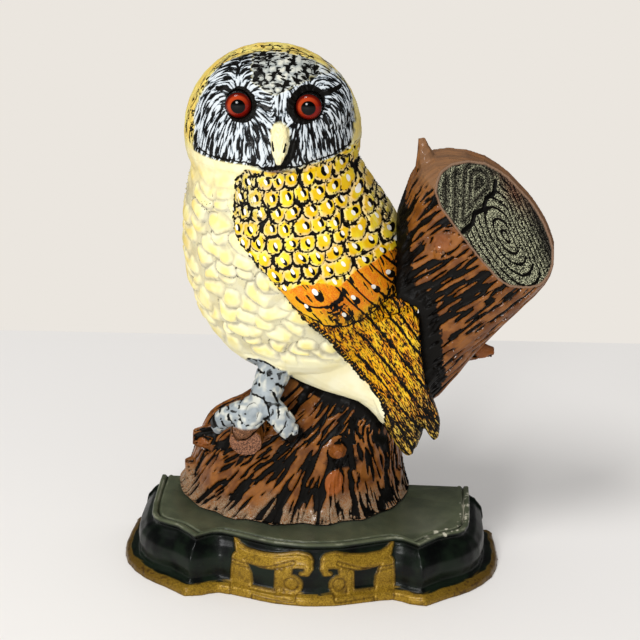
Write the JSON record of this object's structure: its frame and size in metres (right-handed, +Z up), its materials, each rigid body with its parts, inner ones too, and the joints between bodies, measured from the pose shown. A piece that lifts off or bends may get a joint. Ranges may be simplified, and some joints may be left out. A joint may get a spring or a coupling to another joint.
{
  "type": "doorstop",
  "caption": "Cast iron doorstop: an owl perched on a stump with a sawn log, on a serpentine plinth. Flat open back; it stands on the floor and holds a door by its weight.",
  "frame": {"origin": "centre of the footprint, on the floor", "axes": "+Z up, -Y to the front that the owl faces, +Y to the flat open back, +X to the viewer's right, where the log leans out"},
  "size_m": [0.2008, 0.076, 0.2477],
  "materials": {
    "plinth_paint": "semi-gloss black-green paint over cast iron, worn at the edges, gilt rim and scrolls",
    "trunk_paint": "glossy red-brown paint with black grooves over cast iron",
    "owl_paint": "satin cream, yellow and orange paint with black crevices over cast iron",
    "eye_glass": "glossy orange-red eye with a black pupil",
    "steel": "plain steel"
  },
  "bodies": {
    "root": {"base_plinth": "plinth_paint", "stump_trunk": "trunk_paint", "owl_shell": "owl_paint", "left_eye_glass": "eye_glass", "right_eye_glass": "eye_glass", "eye_strap": "steel", "eye_strap_screw": "steel", "tie_bolt": "steel", "tie_washer": "steel", "left_stump_screw": "steel", "right_stump_screw": "steel"}
  },
  "joints": []
}
